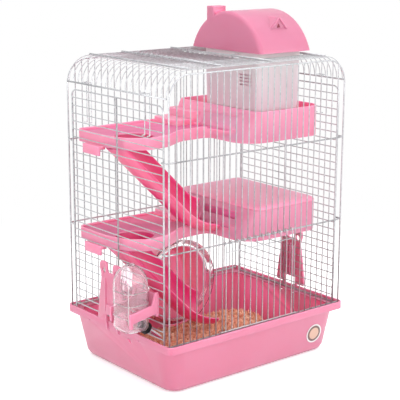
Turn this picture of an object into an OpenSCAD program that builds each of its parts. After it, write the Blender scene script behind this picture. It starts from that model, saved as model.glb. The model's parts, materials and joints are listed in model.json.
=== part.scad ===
// Wire cage for a small rodent: moulded tub, wire top, two shelf floors, ramps, wheel,
// nest tower with a house roof, latch plates and a drinking flask.
// Origin: centre of the tub's underside. X to the right along the front, Y to the back, Z up.

/* [Tub] */
// Height of the tub, rim included
tub_h = 64; // [56:1:80]
// Length of the tub over its rim
tub_l = 277; // [265:1:300]
// Width of the tub over its rim
tub_w = 210; // [196:1:240]
// Radius of the rim's corners
rim_r = 7; // [4:1:12]
// Height of the rim's skirt
skirt_h = 9; // [7:1:12]
// Wall of the tub and of its rim
tub_wall = 2; // [1.6:0.1:2.6]
// Depth of the ledge below the rim's top
ledge_drop = 5; // [4:0.5:7]
// How far the front and back walls lie inside the rim
wall_inset_y = 5; // [3:0.5:8]
// How far the end walls lie inside the rim
wall_inset_x = 1.5; // [1:0.25:4]
// Draft of the walls between rim and floor
tub_draft = 12; // [6:1:18]
// Radius of the tub body's corners at the rim
tub_r = 25; // [16:1:30]
// Radius between walls and underside
foot_r = 8; // [4:1:12]
// Depth of the shavings at the edge
bedding_edge = 9; // [6:1:12]
// Extra depth of the shavings in the heap
bedding_heap = 22; // [8:1:26]

/* [Wire top] */
// Diameter of the thin wires
wire_d = 1.7; // [1.4:0.1:2.2]
// Diameter of frames, bars and hinge wires
bar_d = 2.4; // [2.2:0.1:3]
// Distance between neighbouring wires
pitch = 9.5; // [9:0.5:10]
// Distance of the wire planes from the rim's outside, at front and back
plane_inset_y = 6; // [5:0.5:8]
// Distance of the wire planes from the rim's outside, at the ends
plane_inset_x = 4; // [3.6:0.2:5]
// Height of the front and back panels above the tub's rim
panel_h = 305; // [300:1:320]
// Radius of the bends between sides and roof
bend_r = 28; // [20:1:32]
// Height of the side panels above the tub's rim
side_h = 271; // [266:1:274]
// Distance of the side panels' frames from the front and back planes
side_inset = 9.5; // [7:0.5:12]
// Height of the upper cross bar above the rim
high_bar = 209.5; // [180:1:230]
// Height of the lower cross bar above the rim, which carries the front door
low_bar = 106; // [90:1:112]
// Height of the roof wires above the panels' arches
roof_lift = 4; // [3.6:0.1:6]

/* [Doors] */
// Number of wires in each door
door_wires = 12; // [8:2:12]
// Length of the roof door
roof_door_l = 71; // [60:1:74]
// Place of the roof door's hinge wire along X
roof_hinge_x = -57; // [-66:1:-50]
// Radial play of a wire loop on its hinge wire
loop_play = 0.08; // [0.05:0.01:0.1]

/* [Shelves] */
// Height of the lower landing's underside above the rim
landing_h = 88.5; // [86:0.5:92]
// Rise from one floor to the next
floor_gap = 120.5; // [118:0.5:122]
// Height of the landing's edge
landing_edge = 14; // [12:1:16]
// Height of the deck's underside above the landing's lower edge
deck_low = 9.5; // [8:0.5:10]
// Height of the box
box_h = 37.5; // [32:0.5:44]
// How far the box's floor lies below the landing's
box_sink = 0.5; // [0.5:0.5:3]
// Wall of the shelf mouldings
shelf_wall = 2; // [1.6:0.1:2.4]
// Gap between a shelf and the side wires' plane
shelf_gap = 3.5; // [3:0.25:5]
// Length of the box
box_l = 123; // [112:1:126]
// Depth of the box from front to back
box_w = 156; // [140:1:160]
// Gap between a shelf's back edge and the back wires' plane
shelf_back_gap = 9; // [6:0.5:12]
// Rise of each step beside the box
step_rise = 9; // [7:0.5:10]
// Length of each step
step_l = 24; // [20:1:26]
// Depth of the steps from front to back
step_w = 52; // [40:1:58]
// Height of the lid above the box's rim
lid_rise = 4; // [3:0.5:8]
// Wall of the lid
lid_wall = 2; // [1.6:0.1:2.4]

/* [Ramps] */
// Outside radius of the ramps' half pipe
ramp_r = 24; // [22:0.5:24.5]
// Wall of the ramps
ramp_wall = 2; // [1.6:0.1:2.4]
// Place of the ramp's hole from the landing's left edge
hole_in = 31.5; // [31:0.5:34]
// How far the hole is drawn out towards the box
hole_slot = 3; // [2:1:8]
// Place of the ramps along Y
ramp_y = 16; // [14:1:18]
// Slope of the ramps' straight stretch
ramp_slope = 46; // [44:0.5:48]
// Turn of the ramps towards the front
ramp_turn = 10; // [6:1:14]
// How far the ramp's axis meets the deck's underside outside the hole's middle
ramp_back = 9.5; // [8:0.5:11]
// Height from the deck's underside to the ramp's foot
ramp_drop = 127; // [125:0.5:128]
// Radius of the ramp's bend at its foot
ramp_bend = 60; // [50:5:70]
// Gap between the ramp's end and the box
foot_gap = 5; // [3:0.5:8]

/* [Wheel] */
// Radius of the bowl at its mouth
wheel_r = 49; // [40:1:50]
// Radius of the bowl at its back wall
wheel_back_r = 43; // [36:1:45]
// Depth of the bowl
wheel_depth = 35; // [28:1:36]
// Wall of the bowl and of the guard
wheel_wall = 1.8; // [1.4:0.1:2.2]
// How far the guard stands out round the mouth
guard_flare = 8; // [5:0.5:9]
// Depth of the guard in front of the mouth
guard_depth = 7; // [5:0.5:9]
// Place of the wheel along X
wheel_x = -7; // [-14:1:4]
// Height of the wheel's axle above the rim
wheel_up = 15; // [12:1:20]
// Diameter of the axle
axle_d = 6; // [5:0.25:7]
// Radial play of the wheel on its axle
axle_play = 0.06; // [0.03:0.01:0.1]
// Number of ribs on the running face
rib_count = 24; // [12:4:30]

/* [Nest tower] */
// Length of the tower along X at its top
tower_l = 70; // [60:1:74]
// Width of the tower along Y at its top
tower_w = 104; // [90:1:106]
// Draft of the tower's walls
tower_draft = 2.5; // [1:0.25:3]
// Wall of the tower
tower_wall = 1.8; // [1.4:0.1:2.2]
// Height of the tower's top above the roof wires
tower_up = 8; // [6:0.5:12]
// Gap between the box's left edge and the tower
tower_in = 19; // [16:0.5:22]

/* [House roof] */
// Radius of the barrel
barrel_r = 69; // [66:0.5:76]
// Length of the barrel along X
barrel_l = 81; // [76:1:90]
// Height of the barrel's ridge over its base
barrel_h = 46.5; // [42:0.5:50]
// Radius of the barrel's edges
barrel_edge = 5; // [2:0.5:8]
// Wall of the house roof
roof_wall = 2; // [1.6:0.1:2.4]
// Length of the chimney along X
chimney_l = 19; // [14:1:22]
// Width of the chimney along Y
chimney_w = 13; // [10:1:16]
// Height of the chimney over the ridge
chimney_h = 4.5; // [3:0.5:8]
// Width of the dormer
dormer_w = 30; // [20:1:34]
// Height of the dormer
dormer_h = 13.5; // [9:0.5:15]

/* [Latch plates] */
// Height of a latch plate above the rim
latch_h = 75; // [66:1:84]
// Width of a latch plate at its foot
latch_w = 52; // [46:1:56]
// Thickness of a latch plate
latch_t = 2.6; // [2:0.1:3.2]
// Diameter of the finger holes
finger_d = 7; // [5:0.5:8]
// Diameter of the latch's hinge pins
pin_d = 3; // [2.5:0.1:3.4]
// Radial play of a latch on its pins
pin_play = 0.06; // [0.03:0.01:0.1]

/* [Flask] */
// Length of the flask along X
flask_l = 32; // [28:0.5:34]
// Width of the flask along Y
flask_w = 34; // [30:0.5:36]
// Height of the flask
flask_h = 76; // [66:1:84]
// Wall of the flask
flask_wall = 1.5; // [1.2:0.1:2]
// Radius of the flask's upright edges
flask_r = 8; // [5:0.5:10]
// Slope of the neck below the horizontal
neck_slope = 38; // [34:1:40]
// Diameter of the drinking tube
tube_d = 5.4; // [4.6:0.1:5.5]
// Wall of the drinking tube
tube_wall = 0.6; // [0.5:0.05:0.8]
// Free length of the drinking tube
tube_l = 30; // [24:1:34]
// Place of the flask along Y
flask_y = -62; // [-66:1:-58]

/* [Hidden] */
$fn = 48;
big = 600;
eps = 0.01;
heap_x = 52;
heap_y = 6;
seat = 0.1;
clear = 0.4;

// Tub
ledge_z = tub_h - ledge_drop;
body_l = tub_l - 2 * wall_inset_x;
body_w = tub_w - 2 * wall_inset_y;
plane_x = tub_l / 2 - plane_inset_x;
plane_y = tub_w / 2 - plane_inset_y;

// Wires
wr = wire_d / 2;
br = bar_d / 2;
weld = 0.75 * (wr + br);
weld_thin = 0.75 * wire_d;
foot_z = ledge_z + seat;
arch_z = tub_h + panel_h;
frame_low = foot_z + 2 * wire_d;
columns = floor((plane_x - pitch / 2) / pitch);
door_half = (door_wires / 2) * pitch;
door_z = tub_h + low_bar;
bar_y = plane_y - weld;
loop_r = br + loop_play + wr;
side_top = tub_h + side_h;
side_y = plane_y - side_inset;
side_low = foot_z + br;
roof_z = arch_z + roof_lift;
roof_end_x = plane_x + weld;
roof_rows = floor(plane_y / pitch);
tie_z = roof_z - bend_r;

// Shelves
lower_z = tub_h + landing_h;
upper_z = lower_z + floor_gap;
shelf_x0 = -plane_x + shelf_gap;
shelf_x1 = plane_x - shelf_gap;
shelf_y1 = plane_y - shelf_back_gap;
box_x0 = shelf_x1 - box_l;
box_y0 = shelf_y1 - box_w;
hole_x = shelf_x0 + hole_in;
step_low = 5;

// Ramps: what is open is more than a third of the pipe's round, turned to the front
open_from = 122;
open_to = 300;
collar_r = ramp_r + 1.2;
collar_h = deck_low + 1.5;
ramp_run = (ramp_drop - ramp_r - ramp_bend * (1 - cos(ramp_slope))) / sin(ramp_slope);

// Nest tower
tower_x0 = box_x0 + tower_in;
tower_x1 = tower_x0 + tower_l;
tower_y0 = box_y0 + shelf_wall + clear;
tower_y1 = tower_y0 + tower_w;
tower_top = roof_z + tower_up;
house_x0 = tower_x0 - 3;
house_y = (tower_y0 + tower_y1) / 2 + 6;
house_z = tower_top - 2;
barrel_z = house_z + barrel_h - barrel_r;

// Roof openings
nest_row0 = ceil((tower_y0 - wr - clear) / pitch) - 1;
nest_row1 = floor((tower_y1 + wr + clear) / pitch) + 1;
nest_bar0 = tower_x0 - 8;
nest_bar1 = tower_x1 + 8;
roof_door_y = pitch;

// Wheel
wheel_z = tub_h + wheel_up;
wheel_back = plane_y - 13;
wheel_mouth = wheel_back - wheel_depth;

// Latches: hinge axis along Y, in a slot of the rim
hinge_x = tub_l / 2 - 1.5;
hinge_z = tub_h - 7.5;
latch_x = tub_l / 2 + 0.5;
latch_y = -6.5;

// Flask: the neck's axis goes through the middle of a gap between side wires
gap_row = floor((side_top - tub_h - pitch) / pitch);
gap_z = side_top - (gap_row + 0.5) * pitch;
stopper_r = 7.2;
stopper_l = 7.5;
neck_r = 6;
neck_run = 12.2;
flask_x1 = -plane_x - wire_d - 8.5;
flask_z = gap_z + 7.7;

// Outlines

function unit(v) = v / norm(v);

function corner(a, p, b, r, n) =
    let (
        u = unit(a - p),
        v = unit(b - p),
        half = acos(u * v) / 2,
        c = p + unit(u + v) * r / sin(half),
        s = p + u * r / tan(half) - c,
        e = p + v * r / tan(half) - c,
        start = atan2(s.y, s.x),
        sweep = atan2(cross(s, e), s * e)
    )
    [for (i = [0:n]) c + r * [cos(start + sweep * i / n), sin(start + sweep * i / n)]];

// A closed outline from corners [x, y, radius]
function rounded(pts, n = 6) =
    let (count = len(pts))
    [for (i = [0:count - 1])
        let (
            a = pts[(i + count - 1) % count],
            p = pts[i],
            b = pts[(i + 1) % count]
        )
        each p[2] == 0 ? [[p.x, p.y]]
            : corner([a.x, a.y], [p.x, p.y], [b.x, b.y], p[2], n)];

function rect_round(l, w, r, n = 6) =
    rounded([[l / 2, -w / 2, r], [l / 2, w / 2, r], [-l / 2, w / 2, r], [-l / 2, -w / 2, r]], n);

function shifted(pts, x, y) = [for (p = pts) [p.x + x, p.y + y]];

// A solid through closed outlines with equal counts of points, at rising heights
module loft(rings, heights) {
    n = len(rings[0]);
    m = len(rings);
    polyhedron(
        points = [for (k = [0:m - 1]) for (p = rings[k]) [p.x, p.y, heights[k]]],
        faces = concat(
            [[for (i = [0:n - 1]) i]],
            [[for (i = [0:n - 1]) m * n - 1 - i]],
            [for (k = [0:m - 2]) for (i = [0:n - 1])
                [k * n + i, (k + 1) * n + i, (k + 1) * n + (i + 1) % n]],
            [for (k = [0:m - 2]) for (i = [0:n - 1])
                [k * n + i, (k + 1) * n + (i + 1) % n, k * n + (i + 1) % n]]
        )
    );
}

// Wires

module along_x(x0, x1, y, z, r = wr) {
    translate([x0, y, z]) rotate([0, 90, 0]) cylinder(r = r, h = x1 - x0, $fn = 16);
}

module along_y(y0, y1, x, z, r = wr) {
    translate([x, y0, z]) rotate([-90, 0, 0]) cylinder(r = r, h = y1 - y0, $fn = 16);
}

module along_z(z0, z1, x, y, r = wr) {
    translate([x, y, z0]) cylinder(r = r, h = z1 - z0, $fn = 16);
}

// A quarter bend in the XY plane about the origin, from +X to +Y
module bend(radius, r = wr, angle = 90) {
    rotate_extrude(angle = angle, $fn = 48)
        translate([radius, 0])
            circle(r = r, $fn = 16);
}

// Tub

function tub_ring(inset, drop) =
    rect_round(
        body_l - 2 * inset - 2 * drop,
        body_w - 2 * inset - 2 * drop * 0.75,
        max(tub_r - inset - drop * 0.6, 6)
    );

module tub_body(inset, floor_z, top) {
    r = foot_r - inset;
    loft(
        [
            tub_ring(inset + r, tub_draft),
            tub_ring(inset + r * 0.3, tub_draft),
            tub_ring(inset, tub_draft * (1 - r / tub_h)),
            tub_ring(inset, 0)
        ],
        [floor_z, floor_z + r * 0.3, floor_z + r, top]
    );
}

// The slots and small pockets of one end wall, for the latch plate
module end_cuts() {
    for (y = [latch_y - 11, latch_y + 11]) {
        translate([hinge_x - 3.3, y - 2, hinge_z - 4.4])
            cube([big, 4, tub_h]);
    }
    for (y = [-55, 45]) {
        translate([0, y, ledge_z - 3])
            rotate([0, 90, 0])
                cylinder(d = 2.4, h = big, $fn = 24);
    }
    translate([tub_l / 2 - wall_inset_x - 3.2, 21, tub_h - 18])
        rotate([90, 0, 90])
            linear_extrude(height = 2)
                polygon([[-5, 8], [5, 8], [5, 0]]);
}

module latch_pins() {
    for (y = [latch_y - 11, latch_y + 11]) {
        translate([hinge_x, y - 2.5, hinge_z])
            rotate([-90, 0, 0])
                cylinder(d = pin_d, h = 5, $fn = 32);
    }
}

module rim() {
    difference() {
        translate([0, 0, tub_h - skirt_h])
            linear_extrude(height = skirt_h)
                polygon(rect_round(tub_l, tub_w, rim_r));
        translate([0, 0, ledge_z])
            linear_extrude(height = skirt_h)
                polygon(rect_round(tub_l - 2 * tub_wall, tub_w - 2 * tub_wall, rim_r - tub_wall));
        translate([0, 0, ledge_z - tub_wall])
            linear_extrude(height = skirt_h)
                polygon(rect_round(2 * plane_x - 10, 2 * plane_y - 8, tub_r - 8));
        translate([0, 0, ledge_z - tub_wall - skirt_h])
            linear_extrude(height = skirt_h)
                polygon(rect_round(tub_l - 2 * tub_wall, tub_w - 2 * tub_wall, rim_r - tub_wall));
    }
}

module tub() {
    color("hotpink") {
        difference() {
            union() {
                difference() {
                    tub_body(0, 0, ledge_z - tub_wall + 0.5);
                    tub_body(tub_wall, tub_wall, ledge_z + 1);
                }
                rim();
            }
            for (a = [0, 180]) rotate([0, 0, a]) end_cuts();
        }
        for (a = [0, 180]) rotate([0, 0, a]) latch_pins();
    }
}

// Shavings: a low layer with a heap at the back right of the middle

function bedding_ring(t) =
    let (
        l = body_l - 2 * tub_draft - 3 * foot_r,
        w = body_w - 1.5 * tub_draft - 3 * foot_r,
        n = 40
    )
    [for (i = [0:n - 1])
        let (
            a = i * 360 / n,
            c = [heap_x, heap_y] * t,
            ripple = 1 + 0.05 * t * sin(5 * a + 200 * t),
            q = pow(pow(abs(cos(a)), 4) + pow(abs(sin(a)), 4), -0.25)
        )
        c + (q * (1 - t) + t) * ripple * (1 - 0.86 * t) * [l * cos(a), w * sin(a)] / 2];

module bedding() {
    floor_z = tub_wall + seat;
    steps = 6;
    color("peru")
        loft(
            concat(
                [bedding_ring(0), bedding_ring(0)],
                [for (i = [1:steps]) bedding_ring(i / steps)]
            ),
            concat(
                [floor_z, floor_z + bedding_edge - 3],
                [for (i = [1:steps]) floor_z + bedding_edge
                    + bedding_heap * pow(sin(90 * i / steps), 2) - 3 * (1 - i / steps)]
            )
        );
}

// Latch plate, seen from outside: half widths at chosen heights

module latch_plate_2d() {
    foot = latch_w / 2;
    difference() {
        polygon(rounded([
            [foot, 1, 2],
            [foot - 4, latch_h * 0.4, 30],
            [foot - 9, latch_h * 0.76, 12],
            [foot - 5.5, latch_h * 0.88, 5],
            [foot - 6.5, latch_h, 5],
            [foot - 20, latch_h, 5],
            [6, latch_h * 0.83, 3],
            [-6, latch_h * 0.83, 3],
            [20 - foot, latch_h, 5],
            [6.5 - foot, latch_h, 5],
            [5.5 - foot, latch_h * 0.88, 5],
            [9 - foot, latch_h * 0.76, 12],
            [4 - foot, latch_h * 0.4, 30],
            [-foot, 1, 2]
        ]));
        for (s = [-1, 1]) {
            translate([s * (foot - 13.5), latch_h - 11]) circle(d = finger_d, $fn = 32);
        }
        polygon(rounded([[12, -9, 0], [12, 10, 2], [-12, 10, 2], [-12, -9, 0]]));
    }
}

module latch() {
    eye = pin_d / 2 + pin_play;
    color("pink") {
        difference() {
            union() {
                translate([latch_x, latch_y, tub_h])
                    rotate([90, 0, 90])
                        linear_extrude(height = latch_t)
                            latch_plate_2d();
                for (y = [latch_y - 11, latch_y + 11]) {
                    translate([hinge_x, y - 1.6, hinge_z])
                        rotate([-90, 0, 0])
                            cylinder(r = eye + 1.4, h = 3.2, $fn = 32);
                    translate([0, y + 1.6, 0])
                        rotate([90, 0, 0])
                            linear_extrude(height = 3.2)
                                polygon([
                                    [hinge_x, hinge_z - 2.9],
                                    [hinge_x + 2.9, hinge_z],
                                    [latch_x + latch_t, tub_h + 3],
                                    [latch_x + latch_t, tub_h + 14],
                                    [latch_x, tub_h + 14],
                                    [latch_x, tub_h + 1.4],
                                    [hinge_x - 0.4, hinge_z + 2.9]
                                ]);
                }
                translate([latch_x + latch_t - eps, latch_y - 4, tub_h + 13])
                    cube([3, 8, 11]);
                for (s = [-1, 1]) {
                    translate([latch_x + latch_t - 1, latch_y + s * 9 - 1, tub_h + 14])
                        cube([2.2, 2, latch_h * 0.55]);
                }
            }
            for (y = [latch_y - 11, latch_y + 11]) {
                translate([hinge_x, y - 3, hinge_z])
                    rotate([-90, 0, 0])
                        cylinder(r = eye, h = 6, $fn = 32);
            }
        }
    }
}

module latch_left() {
    rotate([0, 0, 180]) latch();
}

module latch_right() {
    latch();
}

// Front and back panels

function arch_at(x) =
    abs(x) <= plane_x - bend_r ? arch_z
        : arch_z - bend_r + sqrt(pow(bend_r, 2) - pow(abs(x) - plane_x + bend_r, 2));

module cross_bar(z) {
    turn = 4;
    reach = plane_x + 2 * br + 0.3;
    along_x(-reach + turn, reach - turn, 0, z, br);
    for (s = [0, 1]) {
        mirror([s, 0, 0]) {
            translate([reach - turn, turn, z])
                rotate([0, 0, -90])
                    bend(turn, br);
            along_y(turn, side_inset - weld, reach, z, br);
        }
    }
}

// A panel in the plane y = 0, its cross bars on the +Y side
module arched_panel(doorway) {
    for (s = [-1, 1]) {
        along_z(foot_z, arch_z - bend_r, s * plane_x, 0, br);
        translate([s * (plane_x - bend_r), 0, arch_z - bend_r])
            rotate([90, 0, 0])
                mirror([s < 0 ? 1 : 0, 0, 0])
                    bend(bend_r, br);
    }
    along_x(bend_r - plane_x, plane_x - bend_r, 0, arch_z, br);
    along_x(-plane_x, plane_x, weld, frame_low, br);
    for (i = [-columns:columns]) {
        x = i * pitch;
        hung = doorway && abs(x) < door_half - 1;
        along_z(hung ? door_z - 0.5 : foot_z, arch_at(x), x, 0);
    }
    for (h = [high_bar, low_bar]) {
        translate([0, weld, 0]) cross_bar(tub_h + h);
    }
}

module front_panel() {
    color("silver") translate([0, -plane_y, 0]) arched_panel(true);
}

module back_panel() {
    color("silver") translate([0, plane_y, 0]) mirror([0, 1, 0]) arched_panel(false);
}

// Side panels: a framed ladder

module side_panel() {
    top_r = 8;
    for (s = [-1, 1]) {
        along_z(side_low, side_top - top_r, plane_x, s * side_y, br);
        translate([plane_x, s * (side_y - top_r), side_top - top_r])
            rotate([0, 0, s * 90])
                rotate([90, 0, 0])
                    bend(top_r, br);
    }
    along_y(top_r - side_y, side_y - top_r, plane_x, side_top, br);
    along_y(-side_y, side_y, plane_x, side_low + seat, br);
    for (k = [1:floor((side_top - side_low - wire_d) / pitch)]) {
        along_y(-side_y, side_y, plane_x, side_top - k * pitch);
    }
    along_z(side_low, side_top, plane_x - weld, 0, br);
}

module left_panel() {
    color("silver") mirror([1, 0, 0]) side_panel();
}

module right_panel() {
    color("silver") side_panel();
}

// Roof

// A roof wire from x0 to x1, bent down over an end that is asked for
module roof_wire(y, x0, x1, bend_left, bend_right) {
    run = roof_end_x - weld - bend_r;
    a = bend_left ? -run : x0;
    b = bend_right ? run : x1;
    along_x(a, b, y, roof_z);
    if (bend_left) {
        translate([-run, y, roof_z - bend_r])
            rotate([90, 0, 0])
                mirror([1, 0, 0])
                    bend(bend_r);
        along_z(tie_z - 2, tie_z, -run - bend_r, y);
    }
    if (bend_right) {
        translate([run, y, roof_z - bend_r])
            rotate([90, 0, 0])
                bend(bend_r);
        along_z(tie_z - 2, tie_z, run + bend_r, y);
    }
}

module roof_panel() {
    door_row0 = ceil((roof_door_y - door_half + 1) / pitch);
    door_row1 = floor((roof_door_y + door_half - 1) / pitch);
    color("silver") {
        for (i = [-roof_rows:roof_rows]) {
            y = i * pitch;
            by_nest = i > nest_row0 && i < nest_row1;
            by_door = i >= door_row0 && i <= door_row1;
            if (!by_nest && !by_door) {
                roof_wire(y, 0, 0, true, true);
            } else {
                roof_wire(y, 0, by_door ? roof_hinge_x : nest_bar0, true, false);
                roof_wire(y, by_nest ? nest_bar1 : nest_bar0, 0, false, true);
            }
        }
        for (x = [roof_hinge_x - 5 * pitch, roof_hinge_x, nest_bar0, nest_bar1]) {
            along_y(-roof_rows * pitch, roof_rows * pitch, x, roof_z + weld, br);
        }
        for (s = [-1, 1]) {
            along_y(-roof_rows * pitch - 2, roof_rows * pitch + 2, s * roof_end_x, tie_z - 1, br);
        }
    }
}

// A loop of a door's wire round a hinge wire, three quarters of a turn in the XY plane
module hinge_loop() {
    bend(loop_r, wr, 270);
}

module front_door() {
    color("silver") {
        low = frame_low + bar_d;
        y = -bar_y - loop_r;
        for (i = [0:door_wires - 1]) {
            x = (i - (door_wires - 1) / 2) * pitch;
            translate([x, -bar_y, door_z])
                rotate([90, 0, 90])
                    rotate([0, 0, -90])
                        hinge_loop();
            along_z(low - 1, door_z, x, y);
        }
        reach = door_half + 2.4;
        along_x(-reach, reach, y - weld_thin, low);
        along_x(-door_half + 3, door_half - 3, y - weld_thin, door_z - 10);
        for (x = [-reach, reach]) {
            along_y(y - weld_thin, -plane_y + 3, x, low);
            translate([x, y - weld_thin, low]) sphere(r = wr, $fn = 16);
        }
    }
}

module roof_door() {
    z = roof_z + weld - loop_r;
    end_x = roof_hinge_x + roof_door_l;
    color("silver") translate([0, roof_door_y, 0]) {
        for (i = [0:door_wires - 1]) {
            y = (i - (door_wires - 1) / 2) * pitch;
            translate([roof_hinge_x, y, roof_z + weld])
                rotate([90, 0, 0])
                    hinge_loop();
            along_x(roof_hinge_x, end_x, y, z);
        }
        reach = door_half - 3;
        for (x = [roof_hinge_x + 10, end_x - 1.5]) {
            along_y(-reach, reach, x, z + weld_thin);
        }
        // Catches that lie on the fixed wire beside the door
        catch_z = roof_z + weld + br + wr + 0.35;
        for (y = [-reach + 12, reach - 12]) {
            along_x(end_x - 3, nest_bar0 + 3, y, catch_z);
            along_z(z + weld_thin, catch_z, end_x - 2.5, y);
        }
    }
}

// Bent wires that tie the roof's end wires to the side panels
module wire_hook() {
    x = plane_x - wire_d - 0.7;
    over = roof_end_x + br + wr + 0.3;
    top = tie_z - 1 + br + wr + 0.2;
    low = side_top - 4 * pitch + wire_d + 0.3;
    for (s = [-1, 1]) {
        along_z(low, top, x, s * pitch / 2);
        along_x(x, over, s * pitch / 2, top);
        along_x(x, plane_x + wire_d, s * pitch / 2, low);
        for (z = [low, top]) {
            translate([x, s * pitch / 2, z]) sphere(r = wr, $fn = 16);
        }
        translate([over, s * pitch / 2, top]) sphere(r = wr, $fn = 16);
    }
    along_y(-pitch / 2, pitch / 2, over, top);
}

module wire_hooks() {
    y = round(0.66 * side_y / pitch) * pitch;
    color("silver") {
        for (sx = [0, 1]) {
            for (sy = [-1, 1]) {
                mirror([sx, 0, 0]) translate([0, sy * y, 0]) wire_hook();
            }
        }
    }
}

// Shelves

// Outline of a whole shelf: straight at the back, drawn in along its front
function shelf_outline(inset = 0) =
    rounded([
        [shelf_x1 - inset, box_y0 + 21, 8],
        [shelf_x1 - inset, shelf_y1 - inset, 10 - inset],
        [shelf_x0 + 6 + inset, shelf_y1 - inset, 8 - inset],
        [shelf_x0 + inset, shelf_y1 - 8, 8],
        [shelf_x0 + inset, ramp_y + 12, 12],
        [hole_x - 24.5 + inset, ramp_y - 17 + inset, 20],
        [hole_x - 4.5 + inset, ramp_y - 35 + inset, 16],
        [hole_x + 27.5, ramp_y - 33 + inset, 30],
        [hole_x + 61.5, ramp_y - 13 + inset, 30],
        [box_x0 - 3 + inset * 0.5, ramp_y - 12 + inset, 12],
        [box_x0 + 6 + inset, box_y0 + 24, 24],
        [box_x0 + 30, box_y0 + inset, 20],
        [shelf_x1 - 15, box_y0 + inset, 14]
    ], 5);

// Outline of the box where its left wall leans in that far; the front corner gets tighter with it
function box_outline(inset = 0, lean = 0) =
    rounded([
        [shelf_x1 - inset, box_y0 + inset, max(18 - inset, 2)],
        [shelf_x1 - inset, shelf_y1 - inset, max(10 - inset, 2)],
        [box_x0 + lean + inset, shelf_y1 - inset, max(10 - inset, 2)],
        [box_x0 + lean + inset, box_y0 + inset, max(30 - lean - inset, 2)]
    ], 6);

module shelf_hooks() {
    for (s = [0, 1]) {
        mirror([s, 0, 0])
            translate([shelf_x1 - shelf_wall, s == 0 ? 10 : 30, -3]) {
                cube([shelf_gap + shelf_wall + 4, 33, 4]);
                translate([shelf_gap + shelf_wall + 1.5, 0, -7]) cube([2.5, 33, 10]);
            }
    }
}

module landing_hollow() {
    difference() {
        polygon(shelf_outline(shelf_wall));
        translate([box_x0 - step_l, shelf_y1 - step_w]) square([big, big]);
        translate([box_x0 + 1, box_y0 - 1]) square([big, box_w]);
    }
}

module shelf() {
    box_low = -box_sink;
    box_top = box_low + box_h;
    w = shelf_wall;
    color("palevioletred") {
        difference() {
            union() {
                // Landing tray and its edge
                linear_extrude(height = landing_edge) polygon(shelf_outline());
                // Box, its left wall leaning in
                loft(
                    [box_outline(0, 0), box_outline(0, 18)],
                    [box_low, box_top]
                );
                // Steps
                for (i = [0:2]) {
                    translate([0, 0, 1])
                        linear_extrude(height = landing_edge - step_low - 1 + (i + 1) * step_rise)
                            polygon(shifted(
                                rect_round(step_l * (3 - i), step_w, 9),
                                box_x0 - step_l + step_l * (3 + i) / 2,
                                shelf_y1 - step_w / 2
                            ));
                }
                shelf_hooks();
            }
            // Hollows over and under the landing's deck
            translate([0, 0, deck_low + w])
                linear_extrude(height = landing_edge) landing_hollow();
            translate([0, 0, -1])
                linear_extrude(height = deck_low + 1) landing_hollow();
            // Hollow of the box
            loft(
                [box_outline(w, 0), box_outline(w, 18 + 0.4)],
                [box_low + w, box_top + 0.4]
            );
            // Hole of the ramp
            translate([0, 0, -1])
                linear_extrude(height = big)
                    polygon(hole_outline(ramp_r - ramp_wall + 0.6));
            // Doorway from the landing into the box
            translate([box_x0 - 6, box_y0 + 34, deck_low + w])
                cube([34, 62, 17]);
        }
    }
}

function hole_outline(r) =
    concat(
        [for (i = [0:16]) [hole_x + hole_slot, ramp_y] + r * [cos(i * 180 / 16 - 90), sin(i * 180 / 16 - 90)]],
        [for (i = [0:16]) [hole_x, ramp_y] + r * [cos(i * 180 / 16 + 90), sin(i * 180 / 16 + 90)]]
    );

module upper_shelf() {
    translate([0, 0, upper_z]) shelf();
}

module lower_shelf() {
    translate([0, 0, lower_z]) shelf();
}

// Lid: a shallow cover that steps over the box's rim
module box_lid() {
    rim_z = lower_z - box_sink + box_h;
    color("pink") {
        difference() {
            loft(
                [box_outline(-0.6, 18), box_outline(0.4, 18), box_outline(5, 20), box_outline(14, 24)],
                [rim_z + 0.4, rim_z + lid_rise - 2, rim_z + lid_rise, rim_z + lid_rise + 1.2]
            );
            translate([0, 0, -lid_wall])
                loft(
                    [box_outline(1.4, 18), box_outline(2.4, 18), box_outline(7, 20), box_outline(16, 24)],
                    [rim_z, rim_z + lid_rise - 2, rim_z + lid_rise, rim_z + lid_rise + 1.2]
                );
        }
    }
}

// Ramps: a trough under a collar, bent level at its foot

// A stretch of a ring's outline between two angles
function ring_sector(r0, r1, a0, a1, n = 20) =
    concat(
        [for (i = [0:n]) r1 * [cos(a0 + (a1 - a0) * i / n), sin(a0 + (a1 - a0) * i / n)]],
        [for (i = [n:-1:0]) r0 * [cos(a0 + (a1 - a0) * i / n), sin(a0 + (a1 - a0) * i / n)]]
    );

// Turns the drawing so that its +Z runs down the ramp, -X to the upper side
module on_ramp() {
    translate([hole_x, ramp_y, 0])
        rotate([0, 0, -ramp_turn])
            translate([-ramp_back, 0, 0])
                rotate([0, 90 + ramp_slope, 0])
                    children();
}

module ramp_trough() {
    section = ring_sector(ramp_r - ramp_wall, ramp_r, open_to - 360, open_from);
    on_ramp() {
        translate([0, 0, -30]) linear_extrude(height = ramp_run + 30) polygon(section);
        translate([-ramp_bend, 0, ramp_run])
            rotate([90, 0, 0])
                rotate_extrude(angle = ramp_slope, $fn = 180)
                    translate([ramp_bend, 0])
                        polygon([for (q = section) [q.x, -q.y]]);
    }
}

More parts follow.
